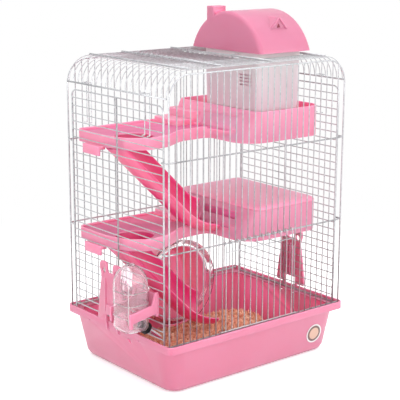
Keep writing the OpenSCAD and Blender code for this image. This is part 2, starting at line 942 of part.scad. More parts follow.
module ramp() {
    w = ramp_wall;
    color("deeppink") {
        difference() {
            union() {
                difference() {
                    ramp_trough();
                    // Nothing of the trough stands inside the landing's edge
                    translate([-big / 2, -big / 2, -deck_low - clear]) cube(big);
                    translate([0, 0, -collar_h])
                        linear_extrude(height = big) polygon(hole_outline(collar_r - w / 2));
                }
                translate([0, 0, -collar_h])
                    linear_extrude(height = collar_h - seat)
                        difference() {
                            polygon(hole_outline(collar_r));
                            polygon(hole_outline(collar_r - w));
                        }
            }
            // The way down from the collar into the trough
            on_ramp() translate([0, 0, 2]) cylinder(r = ramp_r - w - clear, h = 60, $fn = 64);
            translate([shelf_x0 + 2 - big, -big / 2, -big / 2]) cube(big);
            // The foot stands before the next landing's edge and short of its box
            translate([0, 0, -deck_low - floor_gap - 1])
                linear_extrude(height = landing_edge + 1 + clear) polygon(shelf_outline(-clear));
            translate([box_x0 - foot_gap, -big / 2, -big]) cube(big);
        }
    }
}

module upper_ramp() {
    translate([0, 0, upper_z + deck_low]) ramp();
}

module lower_ramp() {
    translate([0, 0, lower_z + deck_low]) ramp();
}

// Wheel

// Turned pieces are drawn as [radius, depth] and stand along +Y from the mouth
module turned(pts) {
    translate([wheel_x, wheel_mouth, wheel_z])
        rotate([-90, 0, 0])
            rotate_extrude($fn = 96)
                polygon(pts);
}

module wheel_bowl() {
    w = wheel_wall;
    hub_r = axle_d / 2 + axle_play;
    color("crimson") {
        turned([
            [wheel_r, 0],
            [wheel_back_r, wheel_depth],
            [hub_r, wheel_depth],
            [hub_r, wheel_depth - 10],
            [hub_r + 3, wheel_depth - 10],
            [hub_r + 4, wheel_depth - w],
            [wheel_back_r - 6, wheel_depth - w],
            [wheel_back_r - w - 0.5, wheel_depth - w - 4],
            [wheel_r - w, 0]
        ]);
        for (i = [0:rib_count - 1]) {
            translate([wheel_x, wheel_mouth + 0.5, wheel_z])
                rotate([0, i * 360 / rib_count, 0])
                    rotate([-atan((wheel_r - wheel_back_r) / wheel_depth), 0, 0])
                        translate([-0.7, 0, wheel_r - w - 1])
                            cube([1.4, wheel_depth - 6, 1.6]);
        }
    }
}

module wheel_guard() {
    w = wheel_wall;
    color("white", 0.4) {
        turned([
            [wheel_r + 0.1, -guard_depth],
            [wheel_r + guard_flare, -guard_depth],
            [wheel_r + guard_flare, -guard_depth + w],
            [wheel_r + w + 0.1, 4],
            [wheel_r + 0.05, 4],
            [wheel_r + 0.05, -0.4],
            [wheel_r + 0.1, -guard_depth + w]
        ]);
    }
}

module wheel_axle() {
    color("white") {
        translate([wheel_x, wheel_back - 10.4, wheel_z])
            rotate([-90, 0, 0]) {
                cylinder(d = axle_d, h = 13, $fn = 48);
                translate([0, 0, -3]) cylinder(d = axle_d + 4, h = 3, $fn = 48);
            }
    }
}

module wheel_bracket() {
    back = plane_y - wr - 0.2;
    front = wheel_back + 2.7;
    color("hotpink") {
        difference() {
            union() {
                translate([wheel_x - 17, front, wheel_z - 14]) cube([34, 3, 50]);
                translate([wheel_x, front - 2.2, wheel_z])
                    rotate([-90, 0, 0])
                        cylinder(r = 9, h = 4, $fn = 48);
                // Tongues between the back panel's wires, with heads behind them
                for (k = [-1, 1]) {
                    x = (floor(wheel_x / pitch) + 0.5 + k) * pitch;
                    translate([x - 2, front + 2, wheel_z + 24])
                        cube([4, back - front + wire_d + 0.5, 3]);
                    translate([x - pitch / 2 - 1, back + wire_d + 0.4, wheel_z + 22])
                        cube([pitch + 2, 2, 7]);
                }
            }
            translate([wheel_x, 0, wheel_z])
                rotate([-90, 0, 0])
                    cylinder(d = axle_d + 0.1, h = front + 0.4, $fn = 48);
        }
    }
}

// Nest tower

function tower_outline(inset = 0) =
    shifted(
        rect_round(tower_l - 2 * inset, tower_w - 2 * inset, 8 - inset * 0.4),
        (tower_x0 + tower_x1) / 2,
        (tower_y0 + tower_y1) / 2
    );

module nest_tower() {
    low = upper_z - box_sink + shelf_wall + 0.3;
    d = tower_draft;
    w = tower_wall;
    color("lavenderblush", 0.6) {
        difference() {
            loft([tower_outline(d), tower_outline(0)], [low, tower_top]);
            loft([tower_outline(d + w), tower_outline(w)], [low + w, tower_top + 0.1]);
            // Way in from the back of the box
            translate([tower_x0 + 17, tower_y1 - 10, low + w])
                cube([36, 20, 36]);
            // Air slots
            for (i = [0:3]) {
                translate([tower_x0 - 5, tower_y0 + 14, roof_z - 34 + i * 4])
                    cube([12, 22, 1.8]);
            }
        }
    }
}

// House roof: a barrel turned about an axis along X

function barrel_half(inset) =
    rounded([
        [0, 0, 0],
        [barrel_r - inset, 0, max(barrel_edge - inset, 0.5)],
        [barrel_r - inset, barrel_l - 2 * inset, max(barrel_edge - inset, 0.5)],
        [0, barrel_l - 2 * inset, 0]
    ], 6);

module barrel(inset) {
    translate([house_x0 + inset, house_y, barrel_z])
        rotate([0, 90, 0])
            rotate([0, 0, 90])
                rotate_extrude(angle = 180, $fn = 128)
                    polygon(barrel_half(inset));
}

module house_roof() {
    ridge = barrel_z + barrel_r;
    dormer_y = house_y - 48;
    dormer_x = house_x0 + 42;
    dormer_low = barrel_z + sqrt(pow(barrel_r, 2) - pow(48, 2));
    color("hotpink") {
        difference() {
            union() {
                barrel(0);
                translate([house_x0, house_y + 22, ridge - 18])
                    cube([chimney_l, chimney_w, 18 + chimney_h]);
                translate([dormer_x, dormer_y + 20, dormer_low])
                    rotate([90, 0, 0])
                        linear_extrude(height = 20)
                            polygon([[-dormer_w / 2, 0], [dormer_w / 2, 0], [0, dormer_h]]);
            }
            barrel(roof_wall);
            translate([-big / 2, -big / 2, house_z - big]) cube(big);
            translate([dormer_x, dormer_y + 2, dormer_low + 2])
                rotate([90, 0, 0])
                    linear_extrude(height = 10)
                        polygon([[-2.6, 0], [2.6, 0], [0, 4.6]]);
        }
        // Ribs inside that stand on the tower's rim
        for (x = [tower_x0 + 12, tower_x1 - 14]) {
            translate([x, tower_y0 - 1, tower_top + 0.3])
                intersection() {
                    cube([2, tower_w + 2, 16]);
                    translate([-x, -(tower_y0 - 1), -(tower_top + 0.3)]) barrel(roof_wall - 0.2);
                }
        }
    }
}

// Flask

function flask_ring(inset, shrink) =
    shifted(
        rect_round(
            (flask_l - 2 * inset) * shrink,
            (flask_w - 2 * inset) * shrink,
            (flask_r - inset) * shrink + (1 - shrink) * 5
        ),
        flask_x1 - flask_l / 2,
        flask_y
    );

module flask_solid(inset) {
    dome = flask_h * 0.3;
    straight = flask_h - dome;
    steps = 6;
    loft(
        concat(
            [flask_ring(inset, 0.9), flask_ring(inset, 1)],
            [for (i = [0:steps]) flask_ring(inset, max(cos(i * 90 / steps), 0.32))]
        ),
        concat(
            [flask_z + inset, flask_z + inset + 3],
            [for (i = [0:steps]) flask_z + straight + (dome - inset) * sin(i * 90 / steps)]
        )
    );
}

// Turns the drawing so that its +Z runs down the neck, from the middle of the wire gap
module on_neck() {
    translate([-plane_x, flask_y, gap_z])
        rotate([0, 90 + neck_slope, 0])
            children();
}

module flask() {
    color("white", 0.4) {
        difference() {
            union() {
                flask_solid(0);
                on_neck() translate([0, 0, -neck_run - 16]) cylinder(r = neck_r, h = 16 + 0.2, $fn = 48);
            }
            flask_solid(flask_wall);
            on_neck() translate([0, 0, -neck_run - 24]) cylinder(r = neck_r - flask_wall, h = 30, $fn = 48);
        }
    }
}

module stopper() {
    color("black") {
        on_neck()
            difference() {
                union() {
                    translate([0, 0, -neck_run + 0.2]) cylinder(r = stopper_r, h = stopper_l, $fn = 48);
                    translate([0, 0, -neck_run - 5])
                        cylinder(r = neck_r - flask_wall - 0.1, h = 6, $fn = 48);
                }
                translate([0, 0, -neck_run - 10]) cylinder(r = tube_d / 2, h = 40, $fn = 48);
            }
    }
}

module drinking_tube() {
    color("gainsboro") {
        on_neck()
            difference() {
                translate([0, 0, -neck_run - 7]) cylinder(d = tube_d, h = tube_l + 7, $fn = 48);
                translate([0, 0, -neck_run - 8]) cylinder(d = tube_d - 2 * tube_wall, h = tube_l + 10, $fn = 48);
            }
    }
}

module tube_ball() {
    color("silver") {
        on_neck()
            translate([0, 0, tube_l - neck_run - 0.6])
                sphere(d = tube_d - 2 * tube_wall - 0.2, $fn = 32);
    }
}

module flask_holder() {
    x1 = -plane_x - wire_d - 0.4;
    low = flask_z + 15;
    color("pink") {
        translate([x1 - 3, flask_y - flask_w / 2 - 3.3, low])
            cube([3, flask_w + 6.6, 26]);
        for (s = [-1, 1]) {
            y = flask_y + s * (flask_w / 2 + 0.3 + 1.3) - 1.3;
            translate([0, y + 2.6, 0])
                rotate([90, 0, 0])
                    linear_extrude(height = 2.6)
                        polygon([
                            [x1, low + 4],
                            [flask_x1 - flask_l * 0.85, low - 2],
                            [flask_x1 - flask_l * 0.85, low - 8],
                            [flask_x1 - flask_l * 0.98, low - 8],
                            [flask_x1 - flask_l * 0.98, low + 9],
                            [x1 - 9, low + 14],
                            [x1 - 4, low + 28],
                            [x1, low + 28]
                        ]);
        }
    }
}

tub();
bedding();
latch_left();
latch_right();
front_panel();
back_panel();
left_panel();
right_panel();
roof_panel();
front_door();
roof_door();
wire_hooks();
upper_shelf();
lower_shelf();
box_lid();
upper_ramp();
lower_ramp();
wheel_bowl();
wheel_guard();
wheel_axle();
wheel_bracket();
nest_tower();
house_roof();
flask();
stopper();
drinking_tube();
tube_ball();
flask_holder();
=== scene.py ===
"""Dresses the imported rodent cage: moulded plastics, coated wire, shavings and a clear flask."""

import json
import math
import random

import bmesh
import bpy
from mathutils import Matrix, Vector
from mathutils.bvhtree import BVHTree


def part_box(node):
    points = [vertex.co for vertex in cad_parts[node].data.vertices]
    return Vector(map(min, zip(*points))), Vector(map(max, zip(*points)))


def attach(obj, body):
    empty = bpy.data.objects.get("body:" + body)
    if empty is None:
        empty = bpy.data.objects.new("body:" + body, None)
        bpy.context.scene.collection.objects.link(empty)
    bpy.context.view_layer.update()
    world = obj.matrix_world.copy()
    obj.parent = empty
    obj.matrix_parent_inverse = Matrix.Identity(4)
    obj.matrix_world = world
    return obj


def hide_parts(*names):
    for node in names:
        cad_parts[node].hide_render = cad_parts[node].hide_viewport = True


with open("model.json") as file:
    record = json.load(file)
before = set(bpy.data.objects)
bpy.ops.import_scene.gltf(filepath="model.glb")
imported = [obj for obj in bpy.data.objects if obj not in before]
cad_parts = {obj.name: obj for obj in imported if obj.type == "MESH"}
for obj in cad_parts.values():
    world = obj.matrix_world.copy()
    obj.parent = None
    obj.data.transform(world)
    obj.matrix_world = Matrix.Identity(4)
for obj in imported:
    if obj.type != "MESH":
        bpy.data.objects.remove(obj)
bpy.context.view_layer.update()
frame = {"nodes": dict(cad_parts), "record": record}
nodes = frame["nodes"]
body_of_node = {
    node: body
    for body, members in frame["record"]["behaviour"]["bodies"].items()
    for node in members
}

# Sizes are in metres, except in names that end in _MM and where a heading says millimetres
MM = 0.001

# Camera: the photograph's viewpoint, lens and lean

CAMERA_AT = Vector((-0.8877, -1.0745, 0.5245))
CAMERA_YAW = math.radians(39.24)
CAMERA_PITCH = math.radians(13.27)
CAMERA_ROLL = math.radians(0.17)
SENSOR_MM = 36.0
PHOTO_PX = 400
FOCAL_PX = 1161.9
CLIP = (0.05, 20)


def add_camera():
    data = bpy.data.cameras.new("photo_view")
    data.sensor_width = SENSOR_MM
    data.lens = FOCAL_PX / PHOTO_PX * SENSOR_MM
    data.clip_start, data.clip_end = CLIP
    camera = bpy.data.objects.new("photo_view", data)
    bpy.context.scene.collection.objects.link(camera)
    forward = Vector(
        (
            math.sin(CAMERA_YAW) * math.cos(CAMERA_PITCH),
            math.cos(CAMERA_YAW) * math.cos(CAMERA_PITCH),
            -math.sin(CAMERA_PITCH),
        )
    )
    turn = forward.to_track_quat("-Z", "Y").to_matrix().to_4x4()
    roll = Matrix.Rotation(CAMERA_ROLL, 4, "Z")
    camera.matrix_world = Matrix.Translation(CAMERA_AT) @ turn @ roll
    bpy.context.scene.camera = camera


# Light: soft round lamps at the front right, the left, the front and above, in a pale room

ROOM_LIGHT = 1.22
FLOOR_SIZE = 12
FLOOR_ROUGHNESS = 0.6
FLOOR_SHINE = 0.1
FLOOR_GLOW = 0.3
FLOOR_SEEN = (0.93, 0.93, 0.93, 1)
FLOOR_BOUNCE = (0.5, 0.5, 0.5, 1)
FLOOR_FADE = (0.3, 0.75)

# Name, place, aim, diameter and power
LAMPS = [
    ("key", (0.9, -1.7, 0.75), (0, 0, 0.2), 1.4, 12.5),
    ("side", (-1.7, -0.9, 0.5), (0, 0, 0.15), 1.3, 15),
    ("front", (-0.5, -2.0, 0.42), (0, 0, 0.1), 1.0, 8),
    ("top", (0.1, 0.0, 1.9), (0, 0, 0.2), 1.2, 8),
]


def add_lamp(name, place, aim, size, watts):
    data = bpy.data.lights.new(name, "AREA")
    data.shape = "DISK"
    data.size = size
    data.energy = watts
    lamp = bpy.data.objects.new(name, data)
    lamp.location = place
    sight = Vector(aim) - Vector(place)
    lamp.rotation_euler = sight.to_track_quat("-Z", "Y").to_euler()
    bpy.context.scene.collection.objects.link(lamp)


def add_room():
    world = bpy.data.worlds.new("pale_room")
    bpy.context.scene.world = world
    world.use_nodes = True
    tree = world.node_tree
    tree.nodes.clear()
    out = tree.nodes.new("ShaderNodeOutputWorld")
    mix = tree.nodes.new("ShaderNodeMixShader")
    room = tree.nodes.new("ShaderNodeBackground")
    room.inputs["Color"].default_value = (1, 1, 1, 1)
    room.inputs["Strength"].default_value = ROOM_LIGHT
    seen = tree.nodes.new("ShaderNodeBackground")
    seen.inputs["Color"].default_value = (1, 1, 1, 1)
    seen.inputs["Strength"].default_value = 1.0
    tree.links.new(seen_ray(tree), mix.inputs[0])
    tree.links.new(room.outputs[0], mix.inputs[1])
    tree.links.new(seen.outputs[0], mix.inputs[2])
    tree.links.new(mix.outputs[0], out.inputs["Surface"])


def seen_ray(tree):
    """1 on rays that show the background: straight, mirrored, or through clear plastic."""
    path = tree.nodes.new("ShaderNodeLightPath")
    seen = path.outputs["Is Camera Ray"]
    for ray in ("Is Transmission Ray", "Is Glossy Ray"):
        either = tree.nodes.new("ShaderNodeMath")
        either.operation = "MAXIMUM"
        tree.links.new(seen, either.inputs[0])
        tree.links.new(path.outputs[ray], either.inputs[1])
        seen = either.outputs[0]
    return seen


def add_floor():
    """A matt white floor that takes the shadow near the cage and runs out into plain white."""
    bpy.ops.object.select_all(action="DESELECT")
    bpy.ops.mesh.primitive_plane_add(size=FLOOR_SIZE, location=(0, 0, 0))
    floor = bpy.context.object
    floor.name = "floor"
    material = bpy.data.materials.new("white_floor")
    material.use_nodes = True
    tree = material.node_tree
    shader = tree.nodes["Principled BSDF"]
    shader.inputs["Roughness"].default_value = FLOOR_ROUGHNESS
    shader.inputs["Specular IOR Level"].default_value = FLOOR_SHINE
    shader.inputs["Emission Color"].default_value = (1, 1, 1, 1)
    seen = seen_ray(tree)
    tone = tree.nodes.new("ShaderNodeMixRGB")
    tone.inputs["Color1"].default_value = FLOOR_BOUNCE
    tone.inputs["Color2"].default_value = FLOOR_SEEN
    tree.links.new(seen, tone.inputs["Fac"])
    tree.links.new(tone.outputs["Color"], shader.inputs["Base Color"])
    glow = tree.nodes.new("ShaderNodeMath")
    glow.operation = "MULTIPLY"
    glow.inputs[1].default_value = FLOOR_GLOW
    tree.links.new(seen, glow.inputs[0])
    tree.links.new(glow.outputs[0], shader.inputs["Emission Strength"])
    place = tree.nodes.new("ShaderNodeTexCoord")
    reach = tree.nodes.new("ShaderNodeVectorMath")
    reach.operation = "LENGTH"
    tree.links.new(place.outputs["Object"], reach.inputs[0])
    fade = tree.nodes.new("ShaderNodeMapRange")
    fade.interpolation_type = "SMOOTHSTEP"
    fade.inputs["From Min"].default_value = FLOOR_FADE[0]
    fade.inputs["From Max"].default_value = FLOOR_FADE[1]
    tree.links.new(reach.outputs["Value"], fade.inputs["Value"])
    share = tree.nodes.new("ShaderNodeMath")
    share.operation = "MULTIPLY"
    tree.links.new(fade.outputs["Result"], share.inputs[0])
    tree.links.new(seen, share.inputs[1])
    white = tree.nodes.new("ShaderNodeEmission")
    white.inputs["Strength"].default_value = 1.0
    mix = tree.nodes.new("ShaderNodeMixShader")
    tree.links.new(share.outputs[0], mix.inputs[0])
    tree.links.new(shader.outputs[0], mix.inputs[1])
    tree.links.new(white.outputs[0], mix.inputs[2])
    tree.links.new(mix.outputs[0], tree.nodes["Material Output"].inputs["Surface"])
    floor.data.materials.append(material)


# Materials

DEPTH = "depth"
DEPTH_SPAN = (0.45, 0.8)
PLASTIC_GRAIN = 0.00004


class Finish:
    """A material's node tree with short helpers."""

    def __init__(self, name):
        self.material = bpy.data.materials.new(name)
        self.material.use_nodes = True
        self.tree = self.material.node_tree
        self.shader = self.tree.nodes["Principled BSDF"]
        self.place = self.tree.nodes.new("ShaderNodeTexCoord").outputs["Object"]

    def set(self, socket, value):
        self.shader.inputs[socket].default_value = value

    def noise(self, scale, detail=3.0, rough=0.5, stretch=None):
        place = self.place
        if stretch is not None:
            mapping = self.tree.nodes.new("ShaderNodeMapping")
            mapping.inputs["Scale"].default_value = stretch
            self.tree.links.new(place, mapping.inputs["Vector"])
            place = mapping.outputs["Vector"]
        node = self.tree.nodes.new("ShaderNodeTexNoise")
        node.inputs["Scale"].default_value = scale
        node.inputs["Detail"].default_value = detail
        node.inputs["Roughness"].default_value = rough
        self.tree.links.new(place, node.inputs["Vector"])
        return node.outputs["Fac"]

    def ramp(self, source, stops):
        node = self.tree.nodes.new("ShaderNodeValToRGB")
        ramp = node.color_ramp
        while len(ramp.elements) < len(stops):
            ramp.elements.new(0.5)
        for element, (at, colour) in zip(ramp.elements, stops):
            element.position = at
            element.color = (*colour, 1)
        self.tree.links.new(source, node.inputs["Fac"])
        return node.outputs["Color"]

    def spread(self, source, low, high):
        node = self.tree.nodes.new("ShaderNodeMapRange")
        node.inputs["To Min"].default_value = low
        node.inputs["To Max"].default_value = high
        self.tree.links.new(source, node.inputs["Value"])
        return node.outputs["Result"]

    def bump(self, source, distance, strength=1.0, after=None):
        node = self.tree.nodes.new("ShaderNodeBump")
        node.inputs["Strength"].default_value = strength
        node.inputs["Distance"].default_value = distance
        self.tree.links.new(source, node.inputs["Height"])
        if after is not None:
            self.tree.links.new(after, node.inputs["Normal"])
        return node.outputs["Normal"]

    def hollow_light_and_shade(self, colour, hollow, span):
        """Blends towards the hollow colour where the depth says that walls face each other:
        painted bounce light and shade in hollows.
        """
        depth = self.tree.nodes.new("ShaderNodeAttribute")
        depth.attribute_name = DEPTH
        share = self.tree.nodes.new("ShaderNodeMapRange")
        share.inputs["From Min"].default_value = span[0]
        share.inputs["From Max"].default_value = span[1]
        self.tree.links.new(depth.outputs["Fac"], share.inputs["Value"])
        mix = self.tree.nodes.new("ShaderNodeMixRGB")
        self.tree.links.new(share.outputs["Result"], mix.inputs["Fac"])
        self.tree.links.new(colour, mix.inputs["Color1"])
        mix.inputs["Color2"].default_value = (*hollow, 1)
        return mix.outputs["Color"]

    def link(self, source, socket):
        self.tree.links.new(source, self.shader.inputs[socket])

    def mottle(self, dark, light, scale, detail=3.0, rough=0.5):
        """A cloudy pattern that runs from one colour to the other."""
        return self.ramp(self.noise(scale, detail, rough), [(0.3, dark), (0.7, light)])

    def patchy_roughness(self, scale, detail, low, high, rough=0.5):
        self.link(self.spread(self.noise(scale, detail, rough), low, high), "Roughness")

    def relief(self, scale, detail, distance, strength, after=None, stretch=None):
        return self.bump(self.noise(scale, detail, 0.5, stretch), distance, strength, after)


def linear(red, green, blue):
    """A colour as it shows on screen, 0 to 255, in the shader's linear numbers."""

    def one(value):
        share = value / 255
        return share / 12.92 if share <= 0.04045 else ((share + 0.055) / 1.055) ** 2.4

    return (one(red), one(green), one(blue))


def blend_colour(a, b, t):
    return tuple(x + (y - x) * t for x, y in zip(a, b))


def moulded_plastic(name, light, deep, hollow=None, span=DEPTH_SPAN, roughness=0.34, inner=0.85):
    """Dyed moulding: slight cloudiness, painted bounce light and shade in its hollows, fine
    grain, soft gloss.
    """
    finish = Finish(name)
    colour = finish.mottle(deep, light, 9)
    if hollow is not None:
        colour = finish.hollow_light_and_shade(colour, hollow, span)
    finish.link(colour, "Base Color")
    finish.patchy_roughness(60, 4, roughness - 0.06, roughness + 0.1, 0.6)
    flow = finish.relief(14, 2, 0.0006, 0.25)
    finish.link(finish.relief(900, 2, PLASTIC_GRAIN, 0.6, flow), "Normal")
    finish.set("Subsurface Weight", inner)
    finish.set("Subsurface Radius", (0.007, 0.0045, 0.005))
    finish.set("Subsurface Scale", 1.0)
    finish.set("Specular IOR Level", 0.45)
    finish.set("Coat Weight", 0.08)
    finish.set("Coat Roughness", 0.25)
    return finish.material


def coated_wire():
    finish = Finish("coated_wire")
    streaks = finish.mottle(linear(172, 173, 176), linear(206, 207, 210), 300, 3, 0.6)
    finish.link(streaks, "Base Color")
    finish.patchy_roughness(900, 2, 0.26, 0.42)
    finish.link(finish.relief(1600, 2, 0.00003, 0.5), "Normal")
    finish.set("Metallic", 0.7)
    finish.set("Specular IOR Level", 0.6)
    return finish.material


def drawn_steel():
    finish = Finish("drawn_steel")
    finish.link(finish.mottle((0.55, 0.56, 0.58), (0.72, 0.73, 0.75), 400), "Base Color")
    finish.patchy_roughness(700, 2, 0.14, 0.26)
    drawn_lines = finish.relief(800, 2, 0.00002, 0.5, stretch=(1, 1, 8))
    finish.link(drawn_lines, "Normal")
    finish.set("Metallic", 1.0)
    return finish.material


def clear_plastic(name, tint, roughness, transmission, bump=0.0002, ior=1.49):
    finish = Finish(name)
    paler = blend_colour(tint, (1, 1, 1), 0.3)
    finish.link(finish.mottle(tint, paler, 20, 2), "Base Color")
    finish.patchy_roughness(80, 3, roughness, roughness + 0.05)
    finish.link(finish.relief(35, 2, bump, 0.35), "Normal")
    finish.set("Transmission Weight", transmission)
    finish.set("IOR", ior)
    finish.set("Coat Weight", 0.6)
    finish.set("Coat Roughness", 0.03)
    return finish.material


# Heights over which the painted pink reflection fades out upwards
MILKY_REFLECTED_PINK_Z = (0.29, 0.36)


def milky_plastic():
    """Natural, undyed moulding: cloudy and lit through; pinker towards the bottom, a painted
    reflection of the pink parts around it.
    """
    finish = Finish("milky_plastic")
    parts = finish.tree.nodes.new("ShaderNodeSeparateXYZ")
    finish.tree.links.new(finish.place, parts.inputs[0])
    rise = finish.tree.nodes.new("ShaderNodeMapRange")
    rise.inputs["From Min"].default_value = MILKY_REFLECTED_PINK_Z[0]
    rise.inputs["From Max"].default_value = MILKY_REFLECTED_PINK_Z[1]
    finish.tree.links.new(parts.outputs["Z"], rise.inputs["Value"])
    reflected_pink = finish.ramp(
        rise.outputs["Result"], [(0.0, linear(246, 186, 203)), (1.0, linear(244, 218, 226))]
    )
    cloud = finish.tree.nodes.new("ShaderNodeMixRGB")
    cloud.blend_type = "MULTIPLY"
    cloud.inputs["Fac"].default_value = 1.0
    finish.tree.links.new(reflected_pink, cloud.inputs["Color1"])
    patches = finish.mottle(linear(246, 240, 242), linear(255, 255, 255), 14)
    finish.tree.links.new(patches, cloud.inputs["Color2"])
    finish.link(cloud.outputs["Color"], "Base Color")
    finish.patchy_roughness(90, 3, 0.3, 0.42)
    flow = finish.relief(22, 2, 0.0005, 0.3)
    finish.link(finish.relief(800, 2, PLASTIC_GRAIN, 0.5, flow), "Normal")
    finish.set("Transmission Weight", 0.12)
    finish.set("IOR", 1.3)
    finish.set("Subsurface Weight", 0.9)
    finish.set("Subsurface Radius", (0.012, 0.01, 0.011))
    finish.set("Subsurface Scale", 1.0)
    return finish.material


def black_rubber():
    finish = Finish("black_rubber")
    blacks = finish.mottle((0.004, 0.004, 0.005), (0.012, 0.012, 0.013), 120, 4)
    finish.link(blacks, "Base Color")
    finish.set("Specular IOR Level", 0.1)
    finish.patchy_roughness(300, 3, 0.42, 0.6)
    finish.link(finish.relief(1500, 2, 0.00005, 0.6), "Normal")
    return finish.material


def shaving_wood():
    finish = Finish("shaving_wood")
    patch = finish.noise(140, 4, 0.6)
    finish.link(
        finish.ramp(
            patch,
            [
                (0.25, linear(158, 84, 62)),
                (0.42, linear(240, 168, 138)),
                (0.58, linear(255, 208, 178)),
                (0.8, linear(255, 236, 216)),
            ],
        ),
        "Base Color",
    )
    finish.set("Roughness", 0.75)
    finish.link(finish.relief(1200, 3, 0.0001, 0.7), "Normal")
    finish.set("Subsurface Weight", 0.1)
    finish.set("Subsurface Radius", (0.004, 0.002, 0.001))
    return finish.material


# Painted light and shade in hollows: a brighter, fuller pink as painted bounce light in the
# shelves' and the house's hollows and inside the tub, and a deep painted shade in the ramps'
# chutes
HOLLOW_BOUNCE_PINK = linear(255, 122, 162)
BASIN_BOUNCE_PINK = linear(255, 140, 180)
CHUTE_SHADE_PINK = linear(210, 58, 118)
CHUTE_SPAN = (0.06, 0.3)


def dyed(name, light, deep, *rest, **kind):
    """A moulding whose two near shades are given as they show on screen."""
    return moulded_plastic(name, linear(*light), linear(*deep), *rest, **kind)


TUB_PINK = dyed("tub_pink", (206, 126, 153), (203, 120, 147), BASIN_BOUNCE_PINK)
SHELF_PINK = dyed("shelf_pink", (225, 143, 170), (223, 135, 163), HOLLOW_BOUNCE_PINK)
HOUSE_PINK = dyed("house_pink", (194, 117, 144), (190, 110, 138), HOLLOW_BOUNCE_PINK)
# The deck's deeper, fuller pink is painted shade; its higher roughness is its own
DECK_SHADE_PINK = dyed("deck_shade_pink", (200, 98, 142), (195, 90, 134), HOLLOW_BOUNCE_PINK, roughness=0.45)
# The lid's pink is a lighter copy of the shelves' pink: painted light against the upper shelf's
# shadow on it
LID_LIT_PINK = dyed("lid_lit_pink", (255, 158, 186), (254, 150, 179), HOLLOW_BOUNCE_PINK)
# A bright, full pink for the sheet behind the slot: painted bounce light where shade falls
SLOT_BOUNCE_PINK = dyed("slot_bounce_pink", (255, 112, 160), (252, 104, 152))
RAMP_PINK = dyed("ramp_pink", (226, 120, 152), (224, 112, 146), CHUTE_SHADE_PINK, CHUTE_SPAN)
WIRE = coated_wire()
STEEL = drawn_steel()
RUBBER = black_rubber()
SHAVINGS = shaving_wood()
WHEEL_RED = dyed("wheel_red", (255, 150, 178), (255, 136, 168), roughness=0.28)
CLEAR = clear_plastic("clear_plastic", (0.97, 0.975, 0.98), 0.02, 1.0)
# The flask's pink tint and slight haze are painted pink light from the cage around it; the flask
# itself is colourless
FLASK_CLEAR = clear_plastic(
    "flask_clear", (0.92, 0.82, 0.86), 0.02, 0.94, bump=0.00002, ior=1.14
)
# Whitish, half-clear finish for the flask's beads: painted highlight standing for the white
# glints on them
BEAD_HIGHLIGHT_WHITE = clear_plastic("bead_highlight_white", (0.97, 0.95, 0.96), 0.25, 0.75)
# Dark plate colour for the dormer's vent: painted shade inside the opening
VENT_SHADE_DARK = dyed("vent_shade_dark", (128, 22, 52), (112, 16, 44), inner=0.0)
BADGE_SILVER = dyed("badge_silver", (226, 222, 222), (212, 208, 208), inner=0.0)
BADGE_UMBER = dyed("badge_umber", (112, 88, 84), (98, 76, 72), inner=0.0)
BADGE_SAND = dyed("badge_sand", (206, 170, 152), (196, 158, 140), inner=0.0)
MILKY = milky_plastic()

FINISHES = {
    "tub": TUB_PINK,
    "latch_left": TUB_PINK,
    "latch_right": TUB_PINK,
    "flask_holder": TUB_PINK,
    "upper_shelf": SHELF_PINK,
    "lower_shelf": SHELF_PINK,
    "box_lid": LID_LIT_PINK,
    "house_roof": HOUSE_PINK,
    "upper_ramp": RAMP_PINK,
    "lower_ramp": RAMP_PINK,
    "wheel_bracket": SHELF_PINK,
    "wheel_bowl": WHEEL_RED,
    "wheel_guard": CLEAR,
    "wheel_axle": MILKY,
    "nest_tower": MILKY,
    "flask": FLASK_CLEAR,
    "stopper": RUBBER,
    "drinking_tube": STEEL,
    "tube_ball": STEEL,
    "bedding": SHAVINGS,
    "front_panel": WIRE,
    "back_panel": WIRE,
    "left_panel": WIRE,
    "right_panel": WIRE,
    "roof_panel": WIRE,
    "front_door": WIRE,
    "roof_door": WIRE,
    "wire_hooks": WIRE,
}


def paint(obj, material):
    obj.data.materials.clear()
    obj.data.materials.append(material)


# Moulded pieces: a copy of the solid's mesh, joined up, its edges rounded as a mould leaves them

MERGE = 0.00002
FACES_UP = 0.9

# Angles in degrees: faces that count as one flat, edges that are rounded, faces shaded as one
FLAT = 1.0
MOULD_SHARP = 35
SMALL_SHARP = 30
SMOOTH = 38
SMOOTH_ROUND = 60

# Name, width of the rounding in millimetres and the angle up to which faces shade as one
MOULDINGS = [
    ("upper_shelf", 0.7, SMOOTH),
    ("lower_shelf", 0.7, SMOOTH),
    ("tub", 0.8, SMOOTH),
    ("box_lid", 0.7, SMOOTH),
    ("upper_ramp", 0.6, SMOOTH),
    ("lower_ramp", 0.6, SMOOTH),
    ("house_roof", 0.7, SMOOTH),
    ("latch_left", 0.5, SMOOTH),
    ("latch_right", 0.5, SMOOTH),
    ("flask_holder", 0.5, SMOOTH),
    ("nest_tower", 0.5, SMOOTH),
    ("wheel_bowl", 0.4, SMOOTH),
    ("wheel_bracket", 0.5, SMOOTH),
    ("stopper", 0.6, SMOOTH),
    ("flask", 0.4, SMOOTH_ROUND),
]


def pick(piece):
    bpy.ops.object.select_all(action="DESELECT")
    bpy.context.view_layer.objects.active = piece
    piece.select_set(True)


def copy_of(node, name):
    """A piece that starts as the node's own mesh, its loose triangles joined up."""
    piece = bpy.data.objects.new(name, nodes[node].data.copy())
    bpy.context.scene.collection.objects.link(piece)
    pick(piece)
    bpy.ops.object.mode_set(mode="EDIT")
    bpy.ops.mesh.select_all(action="SELECT")
    bpy.ops.mesh.remove_doubles(threshold=MERGE)
    bpy.ops.object.mode_set(mode="OBJECT")
    return piece


